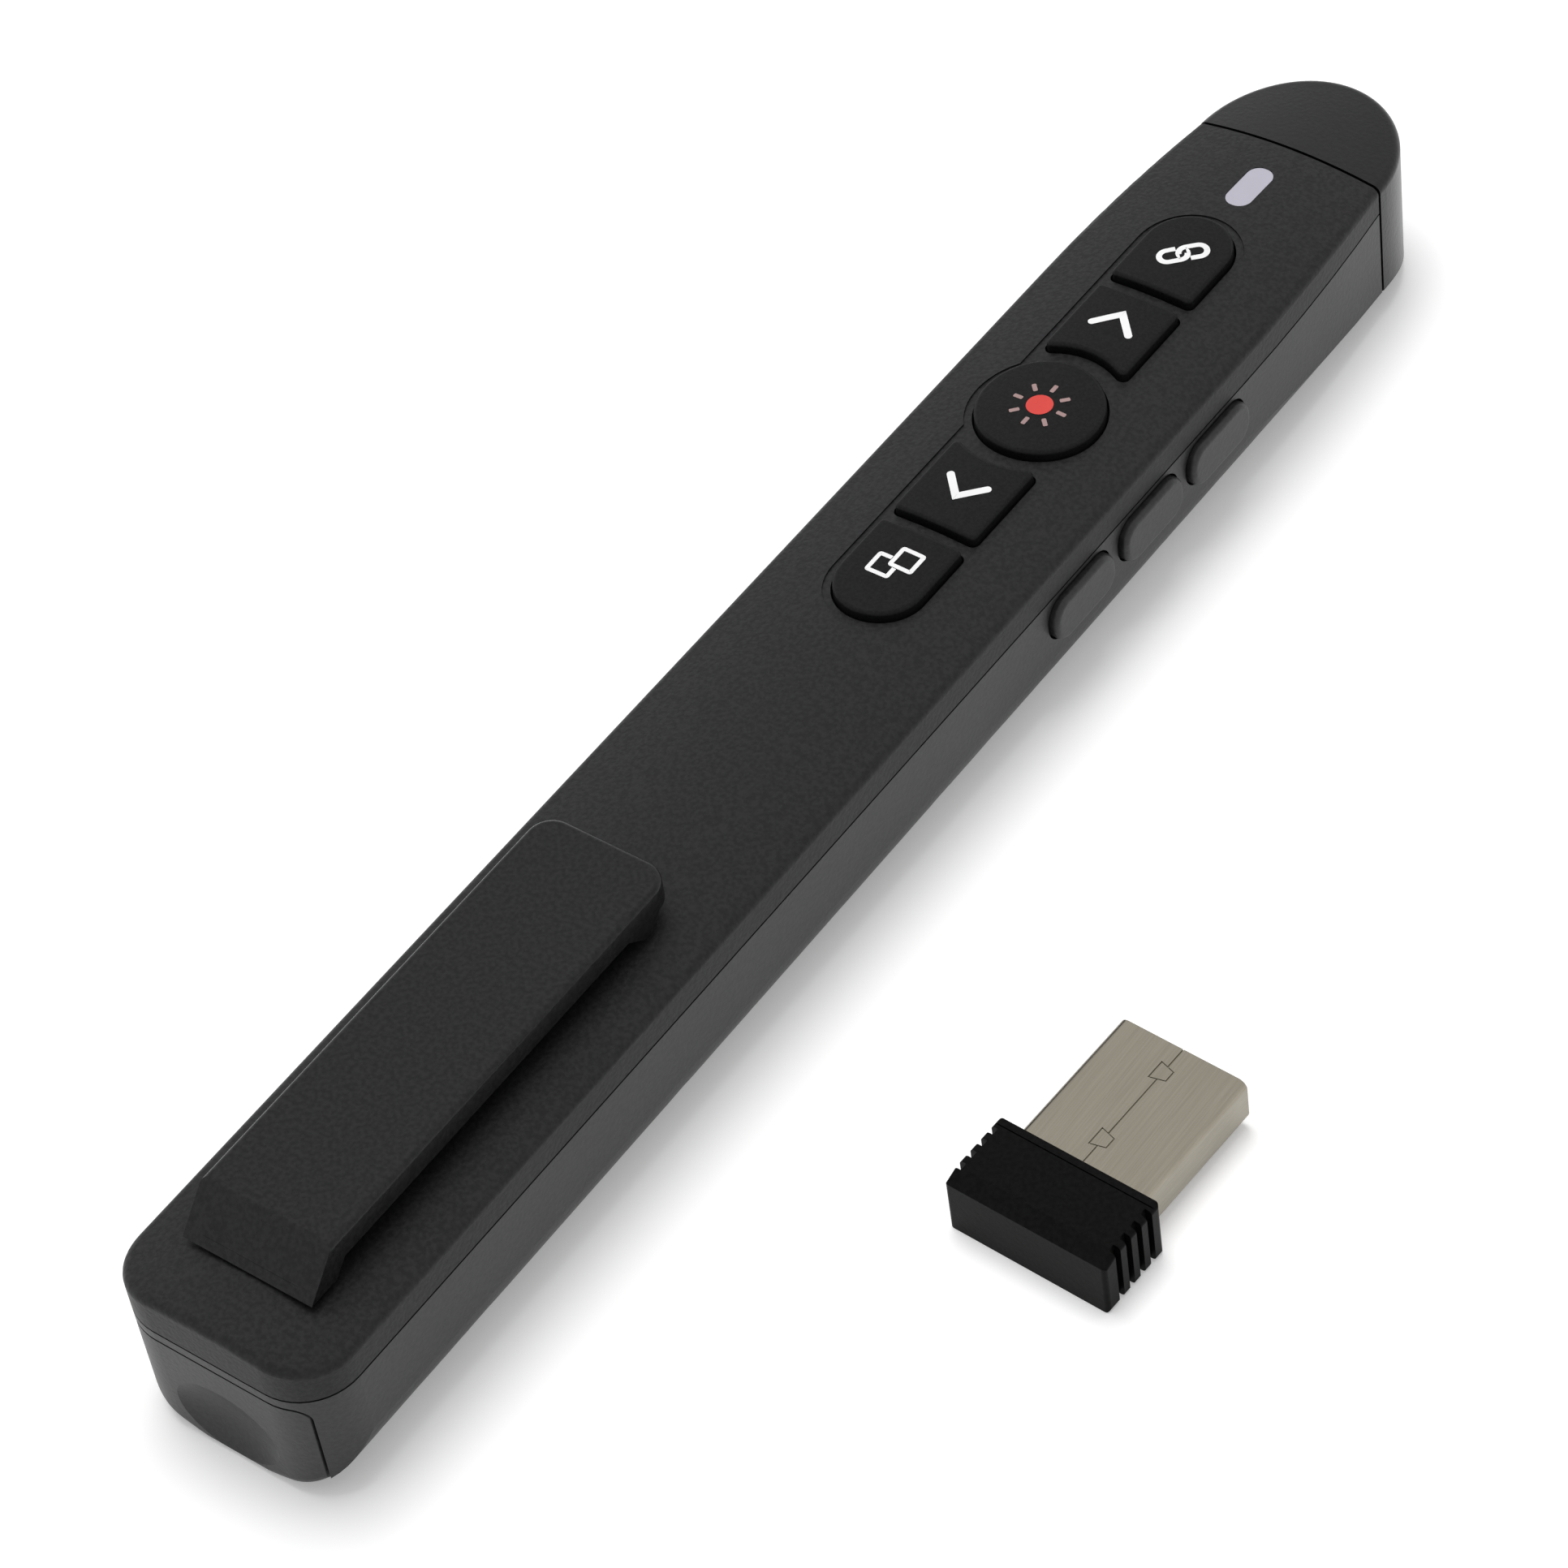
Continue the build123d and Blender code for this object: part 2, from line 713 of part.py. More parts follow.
lever_y = power_y - power_travel / 2
with BuildPart() as power_lever:
    with Locations((-board_half_width + 0.05, lever_y, side_plunger_z)):
        Box(1.5, 1.0, 0.8)
power_lever.part.label = "power_lever"
export_step(power_lever.part, "parts/power_lever.step")

with BuildPart() as power_knob:
    with Locations((-half_width + wall + 0.5, lever_y, flank_z)):
        Box(0.8, 9.2, 4.6)
    with BuildSketch(Plane.YZ.offset(-half_width + wall + 0.3)):
        with Locations((lever_y, flank_z)):
            RectangleRounded(knob_length, knob_height, knob_corner)
    extrude(amount=-(wall + 0.3 + knob_proud))
    with BuildSketch(Plane.YZ.offset(-half_width - knob_proud)):
        for step in (-1.5, -0.5, 0.5, 1.5):
            with Locations((lever_y + step, flank_z)):
                Rectangle(0.45, 4)
    extrude(amount=0.35, mode=Mode.SUBTRACT)
power_knob.part.label = "power_knob"
export_step(power_knob.part, "parts/power_knob.step")

# Top keys with their flanges and stems
top_names = ["window", "down", "laser", "up", "link"]
for name, cap_outline, flange_outline, place in zip(
    top_names, key_outlines(0), key_outlines(flange_lap), stem_places
):
    with BuildPart() as key:
        with BuildSketch(Plane.XY.offset(flange_top_z - flange_thickness)):
            add(cap_outline)
        extrude(amount=4 + flange_thickness)
        add(crown_block(-key_proud), mode=Mode.INTERSECT)
        fillet(key.edges().filter_by(lambda e: e.center().Z > crown_z), radius=key_edge_radius)
        with BuildSketch(Plane.XY.offset(flange_top_z - flange_thickness)):
            add(flange_outline)
        extrude(amount=flange_thickness)
        with BuildSketch(Plane.XY.offset(board_top_z + switch_height + plunger_rise)):
            with Locations(place):
                Circle(stem_radius)
        extrude(amount=flange_top_z - board_top_z - switch_height - plunger_rise)
    key.part.label = name + "_key"
    export_step(key.part, f"parts/{name}_key.step")
    with BuildPart() as plunger:
        with BuildSketch(Plane.XY.offset(board_top_z + switch_height - plunger_sink)):
            with Locations(place):
                Circle(plunger_radius)
        extrude(amount=plunger_sink + plunger_rise)
    plunger.part.label = name + "_plunger"
    export_step(plunger.part, f"parts/{name}_plunger.step")

# Flank keys: rounded pads with a flange inside the wall and a post towards the switch
flank_names = ["volume_down", "mute", "volume_up"]
for name, row in zip(flank_names, flank_rows):
    with BuildPart() as pad:
        with BuildSketch(Plane.YZ.offset(half_width - wall - 0.5)):
            with Locations((row, flank_z)):
                RectangleRounded(flank_length - key_gap, flank_height - key_gap, flank_corner - half_gap)
        extrude(amount=wall + 0.5 + flank_proud)
        fillet(pad.faces().sort_by(Axis.X)[-1].edges(), radius=0.5)
        with BuildSketch(Plane.YZ.offset(half_width - wall - 0.9)):
            with Locations((row, flank_z)):
                RectangleRounded(flank_length + 2 * flank_lap, flank_height + 2 * flank_lap, 1.2)
        extrude(amount=0.8)
        with BuildSketch(Plane.YZ.offset(board_half_width + 0.5)):
            with Locations((row, side_plunger_z)):
                Circle(1.2)
        extrude(amount=0.4)
    pad.part.label = name + "_key"
    export_step(pad.part, f"parts/{name}_key.step")
    with BuildPart() as button:
        with BuildSketch(Plane.YZ.offset(board_half_width - 0.8)):
            with Locations((row, side_plunger_z)):
                Circle(side_plunger_radius)
        extrude(amount=1.3)
    button.part.label = name + "_plunger"
    export_step(button.part, f"parts/{name}_plunger.step")

# Pocket clip: arm, sloped root and a hooked foot through the top shell
with BuildPart() as clip:
    with BuildSketch(Plane.YZ.offset(-clip_half_width)) as side_view:
        with BuildLine():
            Polyline(
                (clip_foot_y, crown_z + clip_gap),
                (clip_crease_y, clip_top_z),
                (clip_tip_y, clip_top_z),
                (clip_tip_y, clip_top_z - clip_thickness),
                (clip_tip_y - clip_bump_front, clip_top_z - clip_thickness),
                (clip_tip_y - clip_bump_front - clip_bump_slope, crown_z + clip_bump_gap),
                (clip_tip_y - clip_bump_front - clip_bump_slope - clip_bump_flat, crown_z + clip_bump_gap),
                (clip_tip_y - clip_bump_back, clip_top_z - clip_thickness),
                (clip_foot_y + clip_foot_length + clip_root_slope, clip_top_z - clip_thickness),
                (clip_foot_y + clip_foot_length, crown_z + clip_gap),
                close=True,
            )
        make_face()
    extrude(amount=2 * clip_half_width)
    tip_corners = clip.edges().filter_by(Axis.Z).group_by(Axis.Y)[-1]
    fillet(tip_corners, radius=clip_tip_radius)
    upper = clip.faces().filter_by(Axis.Z).sort_by(Axis.Z)[-1].edges()
    fillet(upper, radius=clip_edge_radius)
    with BuildSketch(Plane.XY.offset(clip_hook_bottom_z)):
        with Locations((0, (clip_neck_front_y + clip_neck_back_y) / 2)):
            Rectangle(2 * clip_neck_half_width, clip_neck_front_y - clip_neck_back_y)
    extrude(amount=crown_z + 1 - clip_hook_bottom_z)
    with BuildSketch(Plane.XY.offset(clip_hook_bottom_z)):
        with Locations((0, (clip_hook_front_y + clip_neck_back_y) / 2)):
            Rectangle(2 * clip_neck_half_width, clip_hook_front_y - clip_neck_back_y)
    extrude(amount=clip_hook_top_z - clip_hook_bottom_z)
clip.part.label = "clip"
export_step(clip.part, "parts/clip.step")

# AAA cell and its contacts
cell_front_y = bay_front_y - contact_thickness
with BuildPart() as battery:
    with BuildSketch(Plane.YZ):
        with BuildLine():
            can_front = cell_front_y - cell_nub_length
            can_back = can_front - cell_can_length
            Polyline(
                (cell_front_y, cell_z),
                (cell_front_y, cell_z + cell_nub_radius),
                (can_front, cell_z + cell_nub_radius),
                (can_front, cell_z + cell_radius - 0.4),
                (can_front - 0.4, cell_z + cell_radius),
                (can_back + 0.4, cell_z + cell_radius),
                (can_back, cell_z + cell_radius - 0.4),
                (can_back, cell_z),
                close=True,
            )
        make_face()
    revolve(axis=Axis((0, 0, cell_z), (0, 1, 0)))
battery.part.label = "battery"
export_step(battery.part, "parts/battery.step")

with BuildPart() as plate_contact:
    with Locations((0, bay_front_y - contact_thickness / 2, cell_z + 0.4)):
        Box(contact_plate, contact_thickness, contact_plate)
plate_contact.part.label = "plate_contact"
export_step(plate_contact.part, "parts/plate_contact.step")

# Coil contact: sheet plate and a tapering wire coil pressed by the cell
coil_base_y = bay_back_y + contact_thickness
with BuildPart() as spring_contact:
    with Locations((0, bay_back_y + contact_thickness / 2, cell_z + 0.4)):
        Box(contact_plate, contact_thickness, contact_plate)
    with BuildLine() as coil:
        Helix(
            pitch=(coil_length - 2 * wire_radius) / coil_turns,
            height=coil_length - 2 * wire_radius,
            radius=coil_radius,
            center=(0, coil_base_y + wire_radius / 2, cell_z),
            direction=(0, 1, 0),
        )
    with BuildSketch(Plane(coil.line @ 0, z_dir=coil.line % 0)):
        Circle(wire_radius)
    sweep(path=coil.line, is_frenet=True)
spring_contact.part.label = "spring_contact"
export_step(spring_contact.part, "parts/spring_contact.step")

# Shell screws: pan head seated in the bottom shell, shank biting in the top shell boss
with BuildPart() as screws:
    with BuildSketch(Plane.XY.offset(screw_seat_z - 1.4)):
        with Locations(*place_screws()):
            Circle(screw_head_radius)
    extrude(amount=1.4)
    with BuildSketch(Plane.XY.offset(screw_seat_z - 0.1)):
        with Locations(*place_screws()):
            Circle(screw_radius)
    extrude(amount=screw_tip_z - screw_seat_z)
    with BuildSketch(Plane.XY.offset(screw_seat_z - 1.4)):
        for place in place_screws():
            with Locations(place):
                Rectangle(2.4, 0.5)
                Rectangle(0.5, 2.4)
    extrude(amount=0.7, mode=Mode.SUBTRACT)
screws.part.label = "screws"
export_step(screws.part, "parts/screws.step")

# USB receiver lying beside the clicker, plug towards +Y
receiver_place = Location((receiver_x, receiver_y, 0), (0, 0, receiver_turn))
cap_back_y = cap_depth / 2
plug_mid_z = cap_height / 2

with BuildPart() as receiver_cap:
    with BuildSketch(Plane.YZ.offset(-cap_width / 2)):
        with BuildLine():
            Polyline(
                (cap_back_y, 0),
                (cap_back_y, cap_height),
                (cap_slope_reach - cap_back_y, cap_height),
                (-cap_back_y, cap_height - cap_slope_drop),
                (-cap_back_y, 0),
                close=True,
            )
        make_face()
    extrude(amount=cap_width)
    fillet(receiver_cap.faces().filter_by(Axis.X).edges(), radius=0.4)
    with BuildSketch(Plane.XY.offset(-1)):
        for side in (1, -1):
            for step in range(4):
                with Locations((side * cap_width / 2, -cap_depth / 2 + 1.75 + step * 1.35)):
                    Rectangle(1.3, 0.65)
    extrude(amount=cap_height + 2, mode=Mode.SUBTRACT)
    with Locations((0, cap_back_y - bead_width, cap_height)):
        Box(cap_width + overreach, seam_cut, 2 * seam_cut, mode=Mode.SUBTRACT)
    with Locations((0, 1.5, plug_mid_z)):
        Box(plug_width - 2, cap_depth - 1, plug_height - 1, mode=Mode.SUBTRACT)
    with Locations((0, cap_back_y, plug_mid_z)):
        Box(plug_width + 0.04, 4, plug_height + 0.04, mode=Mode.SUBTRACT)
receiver_cap.part.locate(receiver_place)
receiver_cap.part.label = "receiver_cap"
export_step(receiver_cap.part, "parts/receiver_cap.step")

with BuildPart() as receiver_shell:
    with BuildSketch(Plane.XZ.offset(-cap_back_y + 2)):
        with Locations((0, plug_mid_z)):
            RectangleRounded(plug_width, plug_height, plug_corner)
            RectangleRounded(
                plug_width - 2 * plug_sheet,
                plug_height - 2 * plug_sheet,
                plug_corner - plug_sheet,
                mode=Mode.SUBTRACT,
            )
    extrude(amount=-(plug_reach + 2))
    # folded seam with two dovetail locks on the upper face
    with BuildSketch(Plane.XY.offset(plug_mid_z + plug_height / 2)):
        with Locations((0, cap_back_y + plug_reach / 2)):
            Rectangle(seam_cut, plug_reach)
        for lock_y in (cap_back_y + lock_near, cap_back_y + lock_far):
            with Locations((0, lock_y)):
                Trapezoid(lock_length, lock_width, 105, rotation=90)
                Trapezoid(
                    lock_length - 2 * seam_cut, lock_width - 2 * seam_cut, 105, rotation=90, mode=Mode.SUBTRACT
                )
    extrude(amount=-seam_cut, mode=Mode.SUBTRACT)
    # latch windows on the lower face
    with BuildSketch(Plane.XY):
        with Locations((-window_spread, cap_back_y + window_reach), (window_spread, cap_back_y + window_reach)):
            Rectangle(window_width, window_length)
    extrude(amount=plug_mid_z, mode=Mode.SUBTRACT)
receiver_shell.part.locate(receiver_place)
receiver_shell.part.label = "receiver_shell"
export_step(receiver_shell.part, "parts/receiver_shell.step")

tongue_floor_z = plug_mid_z - plug_height / 2 + plug_sheet
tongue_top_z = tongue_floor_z + tongue_thickness
pad_y = cap_back_y + plug_reach - pad_reach
pad_places = [(x, pad_y) for x in (-pad_outer, -pad_inner, pad_inner, pad_outer)]
with BuildPart() as receiver_tongue:
    with BuildSketch(Plane.XY.offset(tongue_floor_z)):
        with Locations((0, cap_back_y + plug_reach / 2 - tongue_gap)):
            Rectangle(plug_width - 2 * plug_sheet - 2 * tongue_gap, plug_reach - 2 * tongue_gap)
    extrude(amount=tongue_thickness)
    with BuildSketch(Plane.XY.offset(tongue_top_z)):
        with Locations(*pad_places):
            Rectangle(pad_width + pad_gap, pad_length + 2 * pad_gap)
    extrude(amount=-pad_thickness, mode=Mode.SUBTRACT)
receiver_tongue.part.locate(receiver_place)
receiver_tongue.part.label = "receiver_tongue"
export_step(receiver_tongue.part, "parts/receiver_tongue.step")

with BuildPart() as receiver_contacts:
    with BuildSketch(Plane.XY.offset(tongue_top_z - pad_thickness)):
        with Locations(*pad_places):
            Rectangle(pad_width, pad_length)
    extrude(amount=pad_thickness)
receiver_contacts.part.locate(receiver_place)
receiver_contacts.part.label = "receiver_contacts"
export_step(receiver_contacts.part, "parts/receiver_contacts.step")

with BuildPart() as receiver_board:
    with Locations((0, 1.1, plug_mid_z - 0.2)):
        Box(9.6, 5.0, 0.8)
receiver_board.part.locate(receiver_place)
receiver_board.part.label = "receiver_board"
export_step(receiver_board.part, "parts/receiver_board.step")
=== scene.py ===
import math

import bpy
from mathutils import Matrix, Vector


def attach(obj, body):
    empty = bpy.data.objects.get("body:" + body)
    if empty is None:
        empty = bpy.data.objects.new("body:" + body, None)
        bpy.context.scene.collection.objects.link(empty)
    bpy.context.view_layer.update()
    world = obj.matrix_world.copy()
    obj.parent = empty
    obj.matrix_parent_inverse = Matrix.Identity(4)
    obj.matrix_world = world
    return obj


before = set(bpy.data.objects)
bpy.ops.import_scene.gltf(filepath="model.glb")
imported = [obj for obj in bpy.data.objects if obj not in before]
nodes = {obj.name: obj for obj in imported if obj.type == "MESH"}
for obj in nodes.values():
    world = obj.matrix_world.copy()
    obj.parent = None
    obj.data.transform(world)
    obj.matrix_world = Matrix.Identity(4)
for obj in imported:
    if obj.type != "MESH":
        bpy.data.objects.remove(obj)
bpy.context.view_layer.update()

mm = 0.001
colourMix = {"first": 6, "second": 7, "result": 2}      # sockets of a colour mix, which share their names


def toLinear(hexColour):
    channels = [int(hexColour[i:i + 2], 16) / 255 for i in (1, 3, 5)]
    return [c / 12.92 if c <= 0.04045 else ((c + 0.055) / 1.055) ** 2.4 for c in channels] + [1.0]


# The darker and the lighter shade of a colour, each this share away from it.
def shades(hexColour, share):
    middle = toLinear(hexColour)[:3]
    return [c * (1 - share) for c in middle] + [1], [min(1, c * (1 + share)) for c in middle] + [1]


# Settings are the node's own properties or the values of its sockets, which go by name or number.
def addNode(tree, kind, settings=None, links=None):
    node = tree.nodes.new(kind)
    for name, value in (settings or {}).items():
        if isinstance(name, str) and hasattr(node, name):
            setattr(node, name, value)
        else:
            node.inputs[name].default_value = value
    for name, source in (links or {}).items():
        tree.links.new(source, node.inputs[name])
    return node


def newMaterial(name):
    material = bpy.data.materials.new(name)
    material.use_nodes = True
    tree = material.node_tree
    tree.nodes.clear()
    shader = addNode(tree, "ShaderNodeBsdfPrincipled")
    addNode(tree, "ShaderNodeOutputMaterial", {}, {"Surface": shader.outputs["BSDF"]})
    place = addNode(tree, "ShaderNodeTexCoord")
    return material, tree, shader, place.outputs["Object"]


# The viewing angle, with the tilt of the frame.
camera = {
    "place": (0.1999, -0.2234, 0.3267),     # metres
    "turn": 0.7479,        # radians about Z
    "tip": 0.7432,         # radians up from looking straight down
    "roll": -0.1636,       # radians about the line of sight
    "lens": 122.4,         # mm
    "frame": 36,           # mm, square
    "nearest": 0.01,       # metres, between which the camera sees
    "farthest": 10,
}
cameraData = bpy.data.cameras.new("camera")
cameraData.lens = camera["lens"]
cameraData.sensor_width = camera["frame"]
cameraData.clip_start = camera["nearest"]
cameraData.clip_end = camera["farthest"]
cameraObject = bpy.data.objects.new("camera", cameraData)
bpy.context.scene.collection.objects.link(cameraObject)
cameraObject.matrix_world = (
    Matrix.Translation(camera["place"])
    @ Matrix.Rotation(camera["turn"], 4, "Z")
    @ Matrix.Rotation(camera["tip"], 4, "X")
    @ Matrix.Rotation(camera["roll"], 4, "Z")
)
bpy.context.scene.camera = cameraObject
print("camera placed")


# Textured ABS: moulded against a spark-eroded tool, so its gloss breaks into a fine, even grain.
# The pits of the grain carry painted shade: their colour is painted a little darker than its peaks.
absGrain = {
    "pitShadeShare": 0.3,
    "pit": 0.35,           # values of the noise that are a pit and a peak
    "peak": 0.65,
    "relief": 0.6,
    "cloud": 16.67,        # mm across, in which the gloss drifts
    "cloudShare": 0.05,
}


def makeAbs(name, colour, roughness, grain, depth, gloss):
    material, tree, shader, place = newMaterial(name)
    dark, light = shades(colour, absGrain["pitShadeShare"])
    fine = addNode(tree, "ShaderNodeTexNoise", {"Scale": 1 / (grain * mm), "Detail": 1.0}, {"Vector": place})
    # painted shade: the grain's low values, its pits, take the darker shade and its peaks the lighter
    pitShade = addNode(tree, "ShaderNodeMapRange", {
        "From Min": absGrain["pit"],
        "From Max": absGrain["peak"],
    }, {"Value": fine.outputs["Fac"]})
    mixed = addNode(tree, "ShaderNodeMix", {
        "data_type": "RGBA",
        colourMix["first"]: dark,
        colourMix["second"]: light,
    }, {"Factor": pitShade.outputs["Result"]})
    tree.links.new(mixed.outputs[colourMix["result"]], shader.inputs["Base Color"])
    bump = addNode(tree, "ShaderNodeBump", {
        "Strength": absGrain["relief"],
        "Distance": depth * mm,
    }, {"Height": fine.outputs["Fac"]})
    tree.links.new(bump.outputs["Normal"], shader.inputs["Normal"])
    cloud = addNode(tree, "ShaderNodeTexNoise", {
        "Scale": 1 / (absGrain["cloud"] * mm),
        "Detail": 3.0,
    }, {"Vector": place})
    rough = addNode(tree, "ShaderNodeMapRange", {
        "To Min": roughness - absGrain["cloudShare"],
        "To Max": roughness + absGrain["cloudShare"],
    }, {"Value": cloud.outputs["Fac"]})
    tree.links.new(rough.outputs["Result"], shader.inputs["Roughness"])
    shader.inputs["Specular IOR Level"].default_value = gloss
    return material


# Colour, roughness, grain and its depth in mm, gloss. A real grain is about 0.1 mm, too fine to show,
# so it is drawn as coarse as these millimetres.
shellAbs = makeAbs("texturedAbs", "#1f1f20", 0.46, 0.4, 0.06, 0.2)
clipAbs = makeAbs("smoothAbs", "#1f1f20", 0.28, 0.4, 0.03, 0.17)        # smoother tool, so crisper edges
lowerAbs = makeAbs("satinAbs", "#1f1f20", 0.42, 0.4, 0.04, 0.42)        # finer texture, so a little brighter
noseAbs = makeAbs("finishedAbs", "#0e0e0f", 0.28, 0.4, 0.03, 0.27)      # smooth, so its flank catches light
keyAbs = makeAbs("softTouchAbs", "#131314", 0.5, 0.25, 0.015, 0.13)     # soft paint, so dark and dull
capAbs = makeAbs("blackNylon", "#0c0c0c", 0.38, 0.4, 0.012, 0.05)       # deep black with hardly any gloss


# Plain printed, moulded, plated or turned surfaces: their tone drifts a little over a few millimetres,
# and the same drift leaves them slightly uneven.
plainDrift = {
    "size": 2.5,           # mm
    "relief": 0.3,
    "depth": 0.01,         # mm
}


def makePlain(name, colour, roughness, tint=0.08, metallic=0.0, extra=None):
    material, tree, shader, place = newMaterial(name)
    dark, light = shades(colour, tint)
    drift = addNode(tree, "ShaderNodeTexNoise", {
        "Scale": 1 / (plainDrift["size"] * mm),
        "Detail": 3.0,
    }, {"Vector": place})
    mixed = addNode(tree, "ShaderNodeMix", {
        "data_type": "RGBA",
        colourMix["first"]: dark,
        colourMix["second"]: light,
    }, {"Factor": drift.outputs["Fac"]})
    tree.links.new(mixed.outputs[colourMix["result"]], shader.inputs["Base Color"])
    bump = addNode(tree, "ShaderNodeBump", {
        "Strength": plainDrift["relief"],
        "Distance": plainDrift["depth"] * mm,
    }, {"Height": drift.outputs["Fac"]})
    tree.links.new(bump.outputs["Normal"], shader.inputs["Normal"])
    shader.inputs["Roughness"].default_value = roughness
    shader.inputs["Metallic"].default_value = metallic
    for socket, value in (extra or {}).items():
        shader.inputs[socket].default_value = value
    return material


# Colour, roughness, how far the tone drifts, and 1 for a metal.
whitePrint = makePlain("whitePadPrint", "#f2f2f2", 0.5)                 # dense matt ink
redPrint = makePlain("redPadPrint", "#d2423b", 0.5)                     # the same ink in a warm red
palePrint = makePlain("palePadPrint", "#9f8482", 0.5)                   # thin lines, so a dusty pink
milkyPc = makePlain("milkyPolycarbonate", "#b3b1bd", 0.25, 0.04)        # smooth, with a cool lilac cast
blackMould = makePlain("blackMoulding", "#141414", 0.5)                 # as moulded, even and dull
boardMask = makePlain("solderMask", "#0d4a2c", 0.35, 0.15)              # green lacquer over uneven copper
brass = makePlain("turnedBrass", "#b08d4f", 0.3, 0.1, 1.0)              # bright yellow from the lathe
canSteel = makePlain("tinnedSteel", "#a9a8a2", 0.3, 0.06, 1.0)          # a soft grey shine
springSteel = makePlain("nickelledSpringSteel", "#b5b2a8", 0.28, 0.06, 1.0)     # brighter and warmer
screwSteel = makePlain("zincedSteel", "#8a8c8e", 0.35, 0.1, 1.0)        # a duller, bluer grey
gold = makePlain("goldFlash", "#c9a24a", 0.25, 0.05, 1.0)               # a thin, bright plating
lens = makePlain("redAcrylic", "#6b1210", 0.08, 0.04, extra={           # polished and clear, deep red
    "Transmission Weight": 0.6,
    "IOR": 1.49,
})


# Nickelled steel of the plug, drawn through a die: fine lines along the plug and a warm cast. Real lines
# are a few hundredths of a millimetre wide, too fine to show, so they are drawn coarser.
plugFinish = {
    "dark": "#868073",
    "light": "#a39d90",
    "lineWidth": 0.12,     # mm
    "lineLength": 6,       # mm
    "turn": 2.5,           # degrees, against the turn of the plug, so that the lines run along it
    "relief": 0.25,
    "depth": 0.01,         # mm
    "drift": 4,            # mm across, in which the gloss drifts
    "smoothest": 0.24,
    "roughest": 0.4,
}


def makePlug():
    material, tree, shader, place = newMaterial("nickelledSteel")
    across = 1 / (plugFinish["lineWidth"] * mm)
    along = 1 / (plugFinish["lineLength"] * mm)
    lay = addNode(tree, "ShaderNodeMapping", {
        "Scale": (across, along, across),
        "Rotation": (0, 0, math.radians(plugFinish["turn"])),
    }, {"Vector": place})
    lines = addNode(tree, "ShaderNodeTexNoise", {
        "Scale": 1.0,
        "Detail": 4.0,
    }, {"Vector": lay.outputs["Vector"]})
    mixed = addNode(tree, "ShaderNodeMix", {
        "data_type": "RGBA",
        colourMix["first"]: toLinear(plugFinish["dark"]),
        colourMix["second"]: toLinear(plugFinish["light"]),
    }, {"Factor": lines.outputs["Fac"]})
    tree.links.new(mixed.outputs[colourMix["result"]], shader.inputs["Base Color"])
    bump = addNode(tree, "ShaderNodeBump", {
        "Strength": plugFinish["relief"],
        "Distance": plugFinish["depth"] * mm,
    }, {"Height": lines.outputs["Fac"]})
    tree.links.new(bump.outputs["Normal"], shader.inputs["Normal"])
    drift = addNode(tree, "ShaderNodeTexNoise", {
        "Scale": 1 / (plugFinish["drift"] * mm),
        "Detail": 3.0,
    }, {"Vector": place})
    rough = addNode(tree, "ShaderNodeMapRange", {
        "To Min": plugFinish["smoothest"],
        "To Max": plugFinish["roughest"],
    }, {"Value": drift.outputs["Fac"]})
    tree.links.new(rough.outputs["Result"], shader.inputs["Roughness"])
    shader.inputs["Metallic"].default_value = 1.0
    return material


plugSteel = makePlug()


# Shrink sleeve of the cell: glossy film, dark with a copper band round the front quarter.
sleeveFinish = {
    "body": "#1b1d22",
    "band": "#b1713c",
    "bandFrom": -17.2,     # mm along the clicker, between which the dark turns to copper
    "bandTo": -17.0,
    "drift": 3.333,        # mm across, in which the gloss drifts
    "smoothest": 0.2,
    "roughest": 0.34,
}


def makeSleeve():
    material, tree, shader, place = newMaterial("pvcSleeve")
    split = addNode(tree, "ShaderNodeSeparateXYZ", {}, {"Vector": place})
    band = addNode(tree, "ShaderNodeMapRange", {
        "From Min": sleeveFinish["bandFrom"] * mm,
        "From Max": sleeveFinish["bandTo"] * mm,
    }, {"Value": split.outputs["Y"]})
    mixed = addNode(tree, "ShaderNodeMix", {
        "data_type": "RGBA",
        colourMix["first"]: toLinear(sleeveFinish["body"]),
        colourMix["second"]: toLinear(sleeveFinish["band"]),
    }, {"Factor": band.outputs["Result"]})
    tree.links.new(mixed.outputs[colourMix["result"]], shader.inputs["Base Color"])
    drift = addNode(tree, "ShaderNodeTexNoise", {
        "Scale": 1 / (sleeveFinish["drift"] * mm),
        "Detail": 2.0,
    }, {"Vector": place})
    rough = addNode(tree, "ShaderNodeMapRange", {
        "To Min": sleeveFinish["smoothest"],
        "To Max": sleeveFinish["roughest"],
    }, {"Value": drift.outputs["Fac"]})
    tree.links.new(rough.outputs["Result"], shader.inputs["Roughness"])
    return material


sleeve = makeSleeve()

finishes = {
    shellAbs: ["top_shell"],
    clipAbs: ["clip"],
    lowerAbs: ["bottom_shell", "battery_door", "volume_down_key", "mute_key", "volume_up_key", "power_knob"],
    noseAbs: ["nose_cap"],
    keyAbs: ["window_key", "down_key", "laser_key", "up_key", "link_key"],
    capAbs: ["receiver_cap"],
    plugSteel: ["receiver_shell"],
    milkyPc: ["indicator_window", "status_led"],
    lens: ["laser_window"],
    brass: ["laser_barrel"],
    boardMask: ["main_board", "receiver_board"],
    blackMould: ["key_switches", "side_switches", "radio_chip", "power_lever", "receiver_tongue",
                 "window_plunger", "down_plunger", "laser_plunger", "up_plunger", "link_plunger",
                 "volume_down_plunger", "mute_plunger", "volume_up_plunger"],
    canSteel: ["crystal", "power_switch"],
    springSteel: ["plate_contact", "spring_contact"],
    screwSteel: ["screws"],
    gold: ["receiver_contacts"],
    sleeve: ["battery"],
}
for material, members in finishes.items():
    for member in members:
        nodes[member].data.materials.clear()
        nodes[member].data.materials.append(material)
print("materials assigned to", sum(len(m) for m in finishes.values()), "nodes")


